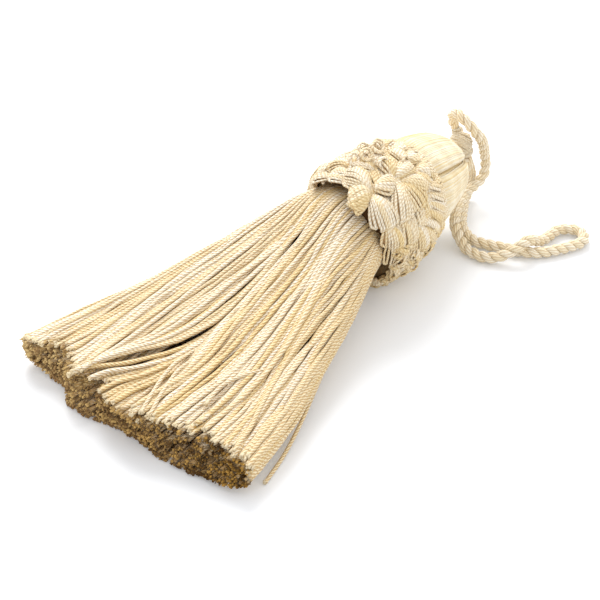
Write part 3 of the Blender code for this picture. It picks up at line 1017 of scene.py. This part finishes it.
def tufts(threads, rng, paths, tones, radius, opened):
    """Each yarn's cut end: its plies, blunt and opened a little, and a few finer fibres between them."""
    along = paths[:, -1] - paths[:, -4]
    along = along / np.linalg.norm(along, axis=1, keepdims=True)
    for spikes, thick, spread_out, low, high in CUT_FIBRES:
        tips, way = np.repeat(paths[:, -1], spikes, axis=0), np.repeat(along, spikes, axis=0)
        wide = np.repeat(0.35 + 0.65 * opened, spikes)[:, None]
        many = len(tips)
        aside = rng.normal(0, 1, (many, 3))
        aside -= (aside * way).sum(1, keepdims=True) * way
        aside /= np.linalg.norm(aside, axis=1, keepdims=True)
        lean = rng.uniform(0.0, spread_out, (many, 1)) * wide
        low_down = 0.45 + 0.55 * smooth_step((tips[:, 2:] - 0.8) / 1.5)
        reach = rng.uniform(low, high, (many, 1)) * wide * low_down
        rows = [
            tips - way * 0.7 + aside * radius * 0.3,
            tips + way * reach * 0.4 + aside * (radius * 0.55 + lean * 0.5),
            tips + way * reach * 0.85 + aside * (radius * 0.6 + lean),
            tips + way * (reach + thick * 0.4) + aside * (radius * 0.6 + lean),
        ]
        hair = np.stack(rows, 1)
        hair[..., 2] = np.maximum(hair[..., 2], thick)
        sizes = thick * rng.uniform(0.85, 1.15, (many, 1)) * np.array([[1.0, 1.0, 0.95, 0.5]])
        # Painted shade in each fibre's tone: dark at its root among the others, and darker near the floor as
        # a painted contact shadow.
        shades = np.array([[0.8, 0.55, 0.2, 0.05]]) + (np.repeat(tones, spikes) - 0.5)[:, None] * 0.7
        shades = shades + rng.uniform(-0.15, 0.15, (many, 1))
        shades = shades + 0.7 * (1 - smooth_step((hair[..., 2] - 0.4) / 1.8))
        marks = np.repeat(opened, spikes)[:, None] * np.array([[0.7, 0.9, 1.0, 1.0]])
        threads.add(hair, sizes, 5 if thick > 0.2 else 3, shades, frays=marks)


def loose_paths(form, rng):
    """A few yarns that lie over the others and cross them slowly."""
    many = LOOSE_YARNS
    shares = np.linspace(0.07, 0.40, many) + rng.uniform(-0.01, 0.01, many)
    ends = form.look_up(np.full(many, CUT_SECTION), shares)
    cut = cut_stations(ends[:, 0], ends[:, 1]) + rng.uniform(0.5, 3.0, many)
    t = np.linspace(0, 1, LOOSE_RINGS)[None]
    station = LOOSE_START + (cut[:, None] - LOOSE_START) * t
    drift = rng.choice([-1.0, 1.0], (many, 1)) * rng.uniform(1.8, 4.5, (many, 1)) * smooth_step(t * 1.2)
    shift = bundle_waves(station, shares[:, None]) * smooth_step((NECK_STATION - station) / 24) + drift
    sunk = 0.05 + 1.1 * smooth_step((station - 40) / 22)
    across, up, normal = form.inside(station, shares[:, None] + shift / form.perimeter(station), sunk)
    across, up = part_locks(station, across, up, normal[..., 1])
    return station, across, up, normal, np.full_like(station, LOOSE_RADIUS)


def yarn_layer(groups, ends, rng, layer, sides, depth=0.0, opened=1.0, shade=0.0):
    """Adds a layer of yarns to groups, as threads, chosen yarns and ring step, with a tuft at each end."""
    station, across, up, normal, radii = layer
    up = np.maximum(up, radii)
    paths = np.stack([station, across, up], -1)
    # The yarns' sides that face into the skirt are painted in shade.
    outward = np.concatenate([0 * normal[..., :1], normal], -1)
    tones = yarn_tones(rng, len(paths))
    phase = rng.uniform(0, 2, len(paths))
    stretch = rng.uniform(0.8, 1.25, len(paths))
    radii = radii * (1 + waves(rng, len(paths), station, (9, 5), (0.06, 0.05)))
    opened = np.broadcast_to(opened, (len(paths),))
    # Painted shade: the inner layers' own, and a painted shadow on the yarns under the collar's front, with
    # the darkening near the cut end.
    shade_under_collar = HOLLOW_SHADE * smooth_step((station - 66) / 6)
    frays = np.maximum(np.maximum(cut_end_darkening(ends_of(paths)) * opened[:, None], shade), shade_under_collar)
    for group, chosen, every in groups:
        chosen = np.broadcast_to(chosen, (len(paths),))
        rings = np.ix_(chosen, np.arange(0, paths.shape[1], every))
        twist = YARN_PLIES, YARN_LAY, depth, frays[rings], phase[chosen], stretch[chosen]
        group.add(paths[rings], radii[rings], sides, tones[chosen], *twist, outward[rings], YARN_FLAT)
    tufts(ends, rng, paths, tones, 0.5, opened)


def build_skirt(material, cut):
    form = SkirtForm()
    rng = np.random.default_rng(23)
    left, right, low, inner, ends = (Threads() for _ in range(5))

    many, rings = OUTER_YARNS, OUTER_RINGS
    station, across, up, normal = skirt_paths(form, rng, many, rings, OUTER_INSET, OUTER_INSET, 0.12)
    facing = normal[..., 1]
    diving = (np.arange(many) % 2)[:, None] * read(DIVES, station)
    across, up = part_locks(station, across, up - diving * facing, facing)
    radii = read(YARN_RADII, station) * rng.uniform(0.84, 1.12, (many, 1))
    shown = facing[:, rings // 2] > -0.55
    middle = across[:, rings // 2] > 0.0
    groups = (left, shown & middle, 1), (right, shown & ~middle, 1), (low, ~shown, 2)
    opened = 1 - 0.75 * smooth_step((up[:, -1] - 3) / 4)
    yarn_layer(groups, ends, rng, (station, across, up, normal, radii), YARN_SIDES, LOBE_DEPTH, opened)
    yarn_layer([(right, True, 1)], ends, rng, loose_paths(form, rng), YARN_SIDES, LOBE_DEPTH, 0.25)

    for *counts, inset_end, inset_neck, start in INNER_LAYERS:
        station, across, up, normal = skirt_paths(form, rng, *counts, inset_end, inset_neck, 0.25, start)
        across, up = part_inner(station, across, up, normal[..., 1])
        layer = station, hollow_end(station, across, up), up, normal, np.full_like(station, INNER_RADIUS)
        yarn_layer([(inner, True, 1)], ends, rng, layer, INNER_SIDES, shade=INNER_SHADE)
    yarn_layer([(inner, True, 1)], ends, rng, crossing_lock(rng), YARN_SIDES, LOBE_DEPTH, 0.3)

    for route, tone in ((STRAY_YARN, STRAY_TONE), *((points, CROSSING_TONE) for points in CROSSING_YARNS)):
        path = smooth_route(route, ROUTE_RING_STEP)[None]
        inner.add(path, STRAY_RADIUS, YARN_SIDES, [tone], YARN_PLIES, YARN_LAY, LOBE_DEPTH)
        tufts(ends, rng, path, np.array([tone]), STRAY_RADIUS, np.array([0.3]))

    for group, name in (
        (left, "upper_yarns_left"),
        (right, "upper_yarns_right"),
        (low, "lower_yarns"),
        (inner, "inner_yarns"),
        (ends, "frayed_ends"),
    ):
        piece = mounted(group.made(name, cut if group is ends else material), "yarn")
        if group is left:
            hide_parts("skirt")


def crossing_lock(rng):
    """The small lock between the main parting and the big lock, which it runs out from under."""
    many, rings = LOCK_YARNS, LOCK_RINGS
    order = np.linspace(0, 1, many)[:, None] + rng.uniform(-0.015, 0.015, (many, 1))
    t = np.linspace(0, 1, rings)[None]
    parting, edge, _ = opening(np.full((many, 1), -2.0))
    end = read(UPPER_CUT, parting - 1.2 + (edge - parting) * order)
    station = LOCK_START + (end + rng.uniform(-0.5, 0.9, (many, 1)) - LOCK_START) * t
    parting, edge, half = opening(station)
    crossed = np.where(np.arange(many)[:, None] % 5 == 3, 0.24, 0.0) * smooth_step((t - 0.45) / 0.5)
    clear = half * 1.7 + 0.45
    across = (parting - clear) + (edge - 0.8 - parting + clear) * (order - crossed)
    across = across + waves(rng, many, station, (33, 19), (0.2, 0.1)) * smooth_step((t - 0.3) / 0.4)
    top = spread(SKIRT_SECTIONS, station)[..., 4]
    up = top - 2.9 + 1.9 * smooth_step((t - 0.25) / 0.4) + waves(rng, many, station, (21,), (0.14,))
    up = up + 0.9 * (crossed > 0) * crossed / 0.24 - 0.9 * np.exp(-((order / 0.12) ** 2))
    up = up - 1.3 * np.exp(-(((order - crossed - 0.88) / 0.09) ** 2)) * smooth_step((t - 0.5) / 0.3)
    skyward = np.stack([0 * up, 1 + 0 * up], -1)
    return station, across, up, skyward, read(LOCK_RADII, station)


# The collar


def bend(station):
    return read(BEND, station)


def rim_shift(station, turn):
    """How far the collar's front hangs over the skirt."""
    away = (np.degrees(turn) - RIM_TURN + 180) % 360 - 180
    front = np.clip((RIM_END_STATION - station) / (RIM_END_STATION - RIM_STATION), 0, 1)
    return -RIM_REACH * np.exp(-((away / RIM_SPREAD) ** 2)) * front


def on_collar(station, turn, lift):
    """Points over the collar's surface, by station, turn and lift."""
    station, turn, lift = np.broadcast_arrays(station, turn, lift)
    radius = read(COLLAR_RADII, station) + lift
    here = station + rim_shift(station, turn)
    sag = REST_SAG * np.clip(-np.sin(turn), 0, 1) ** 2
    up = AXIS_HEIGHT + radius * np.sin(turn) - sag
    across = bend(here) + radius * np.cos(turn)
    return np.stack([here, across, np.maximum(up, LOWEST_THREAD)], -1)


def petal(rng, station, turn, heading, length, width, loops, crest, curl, rings=44):
    """Thread loops that fan out from a pinch on the collar, over a padded crown, to a rounded tip."""
    u = np.linspace(0, 1, rings)[None]
    lanes = np.linspace(-1, 1, 2 * loops) + rng.uniform(-0.05, 0.05, 2 * loops)
    back = smooth_step((u - 0.44) / 0.12)
    lane = lanes[0::2, None] * (1 - back) + lanes[1::2, None] * back
    reach = np.clip(1 - np.abs(2 * u - 1) ** 1.35, 0, 1) ** 0.62
    along = reach * (1 - 0.2 * lane**2) * (1 + rng.uniform(-0.03, 0.03, (loops, 1)))
    side, lift = petal_form(along, lane, width, crest, curl)
    lift = lift + rng.uniform(-0.07, 0.07, (loops, 1))
    return on_lobe(station, turn, heading, along * length, side, lift)


def on_lobe(station, turn, heading, run, side, lift):
    """Points on a lobe that is pinched at a place on the collar and runs along a heading."""
    radius = read(COLLAR_RADII, station)
    here = station + run * math.cos(heading) - side * math.sin(heading)
    there = turn + (run * math.sin(heading) + side * math.cos(heading)) / radius
    return on_collar(here, there, lift)


def petal_form(along, lane, width, crest, curl):
    """How far to the side and how high a place on a lobe is, from its share of the length and width."""
    open_by = 0.1 + 0.9 * np.sin(np.clip(along * 1.05, 0, 1) * math.pi * 0.62)
    side = lane * open_by * width / 2 * (1 - 0.2 * smooth_step((along - 0.75) / 0.3))
    crown = np.sqrt(np.clip(1 - 0.62 * lane**2, 0, 1))
    rise = np.interp(along, [0, 0.12, 0.35, 0.65, 0.88, 1.0], [0.0, 0.45, 0.9, 1.0, 0.86, curl])
    return side, crest * crown * rise - 0.3


def lobe_pad(station, turn, heading, length, width, loops, crest, curl):
    """The padding of a lobe, closed under its threads, as rows along it and columns around it."""
    half = PAD_COLUMNS // 2
    along = np.linspace(0.04, 0.93, PAD_ROWS)[:, None]
    lane = np.concatenate([np.linspace(-0.9, 0.9, half), np.linspace(0.9, -0.9, half)])[None]
    side, lift = petal_form(along, lane, width, crest, curl)
    sunk = np.repeat([PAD_DEPTH, 3 * PAD_DEPTH], half)
    return on_lobe(station, turn, heading, along * (1 - 0.2 * lane**2) * length, side, lift - sunk)


def lobe_places():
    """Each lobe on the shown side: pinch, heading, length, width, loops, crest and curl."""
    for station, turn, tip_station, tip_turn, width, crest in LOBES:
        radius = read(COLLAR_RADII, station) + 1.4
        round_by = math.radians(tip_turn - turn) * radius
        heading = math.atan2(round_by, tip_station - station)
        length = math.hypot(round_by, tip_station - station)
        loops = max(2, round(width / LOBE_THREAD_PITCH / 2))
        yield station, math.radians(turn), heading, length, width * 1.1, loops, crest, 0.1


def petal_places(rng):
    """The even shells all round: pinch, heading, length, width, loops, crest and curl of each."""
    wide = 360 / COLLAR_COLUMNS
    for column in range(COLLAR_COLUMNS):
        upper = column >= COLLAR_COLUMNS / 2
        tier = column - COLLAR_COLUMNS // 2 if upper else column
        way = 1 if upper else -1
        pinch = PINCH_TURN + way * tier * wide
        for k, row in enumerate(SHELL_ROWS[tier % 2]):
            station = row + rng.uniform(-0.25, 0.25)
            turn = math.radians(pinch + rng.uniform(-1.5, 1.5))
            heading = math.radians(way * 90 + rng.uniform(-9, 9))
            shown = 60 < (pinch + way * wide / 2) % 360 < SMALL_STITCH_TURNS[1]
            crest = 1.0 if shown else 2.3
            length = 11.6 + rng.uniform(-0.5, 0.5)
            yield station, turn, heading, length, 6.9, 5, crest + rng.uniform(-0.15, 0.25), 0.5
            if k < len(SHELL_ROWS[tier % 2]) - 1:
                crest = 0.8 if shown else 1.7
                yield station + 0.2, turn, math.radians(rng.uniform(-14, 14)), 5.2, 5.0, 4, crest, 0.3


def small_stitch_places(rng):
    """The small, crowded stitches low on the near side, each with fewer rings than a lobe."""
    for row, station in enumerate(np.arange(*SMALL_STITCH_STATIONS)):
        for turn in np.arange(*SMALL_STITCH_TURNS):
            place = station + rng.uniform(-0.6, 0.6), math.radians(turn + rng.uniform(-2.5, 2.5))
            way = 1 if row % 2 else -1
            heading = math.radians(90 + way * 48 + rng.uniform(-28, 28))
            yield *place, heading, rng.uniform(2.8, 3.8), 2.2, 2, rng.uniform(1.2, 2.4), -0.2, 22


def edge_places(rng):
    """The stitches along the collar's front edge, where no lobe hangs over it, and along its back edge."""
    for many, first, hidden, station, way, length, crest, curl in EDGES:
        for k in range(many):
            turn = FULL_TURN * (k + first + rng.uniform(-0.1, 0.1)) / many
            if not hidden[0] < math.degrees(turn) < hidden[1]:
                yield station, turn, way + rng.uniform(-0.12, 0.12), length, 6.8, 5, crest, curl


def ring_stitch(station, turn, size, stand):
    """A small ring of thread that stands on the collar."""
    around = np.linspace(0, FULL_TURN, 30)
    lift = stand - 0.75 * size * np.sin(around)
    turned = math.radians(turn) + 0.65 * size * np.sin(around) / read(COLLAR_RADII, station)
    return on_collar(station + size * np.cos(around), turned, lift)


def off_axis(paths):
    """The direction away from the tassel's axis."""
    return np.stack([0 * paths[..., 0], paths[..., 1] - bend(paths[..., 0]), paths[..., 2] - AXIS_HEIGHT], -1)


def stitch(threads, paths, radius, tones, rng):
    """Adds the threads of one stitch, each with its twist at its own phase."""
    phase = rng.uniform(0, 2, len(paths))
    twist = THREAD_PLIES, THREAD_LAY, THREAD_GROOVE
    # The threads' sides that face the collar's axis are painted in shade.
    out = off_axis(paths)
    threads.add(paths, radius, THREAD_SIDES, tones, *twist, phase=phase, outward=out, flat=STITCH_FLAT)


def fan(threads, rng, place, radius, palest, deepest, drift=0.0):
    """Adds a fan of thread loops in mixed tones, which a drift makes paler or deeper together."""
    paths = petal(rng, *place)
    tones = rng.uniform(palest, deepest, len(paths))
    if drift:
        tones = np.clip(tones + rng.uniform(-drift, drift), 0, 1)
    stitch(threads, paths, radius, tones, rng)


def build_collar(material, ground):
    rng = np.random.default_rng(5)
    shells, lobes, edges = Threads(), Threads(), Threads()
    for place in petal_places(rng):
        fan(shells, rng, place, THREAD_RADIUS, 0.1, 0.8, drift=0.15)
    mounted(shells.made("collar_shells", material), "crochet")

    for place in lobe_places():
        fan(lobes, rng, place, LOBE_THREAD, 0.05, 0.9, drift=0.15)
    for place in small_stitch_places(rng):
        fan(lobes, rng, place, LOBE_THREAD, 0.4, 1.2)
    for ring in RINGS:
        stitch(lobes, ring_stitch(*ring)[None], LOBE_THREAD, rng.uniform(0.1, 0.6, 1), rng)
    mounted(lobes.made("collar_lobes", material), "crochet")

    # Pads under the lobes' threads, painted in shade like a thread's under side, so the gaps between threads
    # show shade.
    pads = np.stack([lobe_pad(*place) for place in lobe_places()])
    quads = grid_quads(PAD_ROWS, PAD_COLUMNS)
    quads = np.concatenate([quads + PAD_ROWS * PAD_COLUMNS * k for k in range(len(pads))])
    mounted(surface_piece("collar_pads", pads, quads, material, tone=0.75, under=0.9), "crochet")

    for place in edge_places(rng):
        fan(edges, rng, place, THREAD_RADIUS, 0.1, 0.8)
    mounted(edges.made("collar_edges", material), "crochet")

    # The ground: a sheet under the collar's threads that shows where they part, painted in shade.
    stations = np.linspace(*GROUND_STATIONS, GROUND_ROWS)
    stations = np.concatenate([stations, stations[::-1]])
    lifts = np.repeat(GROUND_LIFTS, GROUND_ROWS)
    turns = np.linspace(0, FULL_TURN, GROUND_COLUMNS + 1)[:-1]
    grid = on_collar(stations[:, None], turns[None], lifts[:, None])
    quads = grid_quads(len(stations), GROUND_COLUMNS, closed_along=True)
    mounted(surface_piece("collar_ground", grid, quads, ground), "crochet", "ruff")


# The head and the knot


def build_head(material):
    """Fine floss drawn along the head to its tip, over a smooth core, with a crease on its near side; the
    crease and the head's upper far side are painted in shade.
    """
    rng = np.random.default_rng(31)
    many = HEAD_STRANDS
    station = np.linspace(*HEAD_STATIONS, HEAD_RINGS)[None] + np.zeros((many, 1))
    start = FULL_TURN * (np.arange(many) + rng.uniform(-0.15, 0.15, many)) / many
    lock = np.sin(start * 9 + 1.0)[:, None] * 0.5 + np.sin(start * 23)[:, None] * 0.3
    sway = waves(rng, many, station, (46,), (0.12,)) + lock * np.sin((station - 89) / 9) * 0.35
    turn = start[:, None] + sway * 0.03 + 0.008 * (station - 95)
    lift = -0.26 + waves(rng, many, station, (40,), (0.04,)) + rng.uniform(-0.1, 0.14, (many, 1))
    threads = Threads()
    thick = np.clip(read(HEAD_PROFILE, station) / 11.5, 0.3, 1) * STRAND_RADIUS
    tones = 0.3 + 0.1 * np.sin(start * 17) + rng.normal(0, 0.34, many)
    # Painted shade: strands on the head's upper far side are deeper in tone.
    tones = tones + 0.45 * np.clip(np.cos(start - 0.9), 0, 1) ** 3
    crease = in_crease(station, turn)
    # Painted shade in the crease.
    tones = np.clip(tones, 0, 1)[:, None] + 0.7 * crease**4
    paths = on_head(station, turn, lift)
    # Painted shade on the strands' sides that face the core, and more in the crease.
    threads.add(paths, thick, THREAD_SIDES, tones, frays=0.45 * crease**6, outward=off_axis(paths))
    mounted(threads.made("head_floss", material), "floss", "head")

    stations = np.linspace(*CORE_STATIONS, CORE_ROWS)
    stations = np.concatenate([stations[:1], stations, stations[-1:]])
    turns = np.linspace(0, FULL_TURN, CORE_COLUMNS + 1)[:-1]
    lifts = np.full(len(stations), CORE_LIFT)
    lifts[[0, -1]] = -9.0
    grid = on_head(stations[:, None], turns[None], lifts[:, None])
    quads = grid_quads(len(stations), CORE_COLUMNS)
    mounted(surface_piece("head_core", grid, quads, material, tone=0.4), "floss")


def in_crease(station, turn):
    """How deep in the head's crease a place is, from 0 to 1."""
    line = np.radians(CREASE_TURN + CREASE_LEAN * (station - CREASE_STATION))
    off = (turn - line + math.pi) % FULL_TURN - math.pi
    within = smooth_step((station - 90) / 7) * smooth_step((118 - station) / 5)
    return np.exp(-((off / CREASE_WIDTH) ** 2)) * within


def on_head(station, turn, lift):
    """Points over the head's surface, by station, turn and lift."""
    station, turn, lift = np.broadcast_arrays(station, turn, lift)
    radius = read(HEAD_PROFILE, station)
    lift = lift - CREASE_DEPTH * in_crease(station, turn)
    around = np.maximum(radius + lift * np.clip(radius / 8, 0.2, 1), 0.2)
    return np.stack([station, bend(station) + around * np.cos(turn), AXIS_HEIGHT + around * np.sin(turn)], -1)


def ball(threads, rng, middle, half, wraps, reach, lean, wobble):
    """Turns of cord wound side by side into a leaning ball."""
    lean = math.radians(lean)
    cosine, sine = math.cos(lean), math.sin(lean)
    turned = np.array([[cosine, 0, -sine], [0, 1, 0], [sine, 0, cosine]])
    turn = np.linspace(0, FULL_TURN, 61)
    for height in np.linspace(-reach, reach, wraps):
        size = half * math.sqrt(1 - height**2)
        rise = half * height + 0 * turn
        if wobble:
            rise += wobble * np.sin(2 * turn + rng.uniform(0, FULL_TURN))
        ring = np.stack([np.cos(turn) * size, np.sin(turn) * size, rise], 1)
        path = (middle + ring @ turned)[None]
        tones, twist = rng.uniform(0.0, 0.3, 1), (THREAD_PLIES, KNOT_LAY, KNOT_GROOVE)
        # The wraps' sides that face the knot's middle are painted in shade.
        threads.add(path, KNOT_THREAD, YARN_SIDES, tones, *twist, outward=path - middle)


def build_knot(material):
    """Cord wound slantwise over and over into a smooth lump, with its tail tucked in below."""
    rng = np.random.default_rng(7)
    threads = Threads()
    for offset, *form in KNOT_BALLS:
        ball(threads, rng, np.add(KNOT_CENTRE, offset), *form)
    mounted(threads.made("knot_wraps", material), "twine", "top_knot")


def main():
    yarn = thread_finish("skirt_yarn", YARN_PLIES, YARN_LAY, 0.42, groove_shade=1.0)
    cut = cut_finish("cut_fibre")
    crochet = thread_finish("crochet_thread", THREAD_PLIES, THREAD_LAY, 0.36, groove_shade=0.7, flank_shade=1.0)
    floss = thread_finish("head_floss", 1, 6.0, 0.4, HEAD_PALE, groove_shade=0.25, relief=0.3, flank_shade=0.7)
    twine = thread_finish("loop_twine", PLY_YARNS, -PLY_LAY, 0.42, relief=0.6)
    ground = backing_finish("shaded_ground")
    build_camera()
    build_cord(twine)
    build_studio()
    build_skirt(yarn, cut)
    build_collar(crochet, ground)
    build_head(floss)
    build_knot(twine)


main()
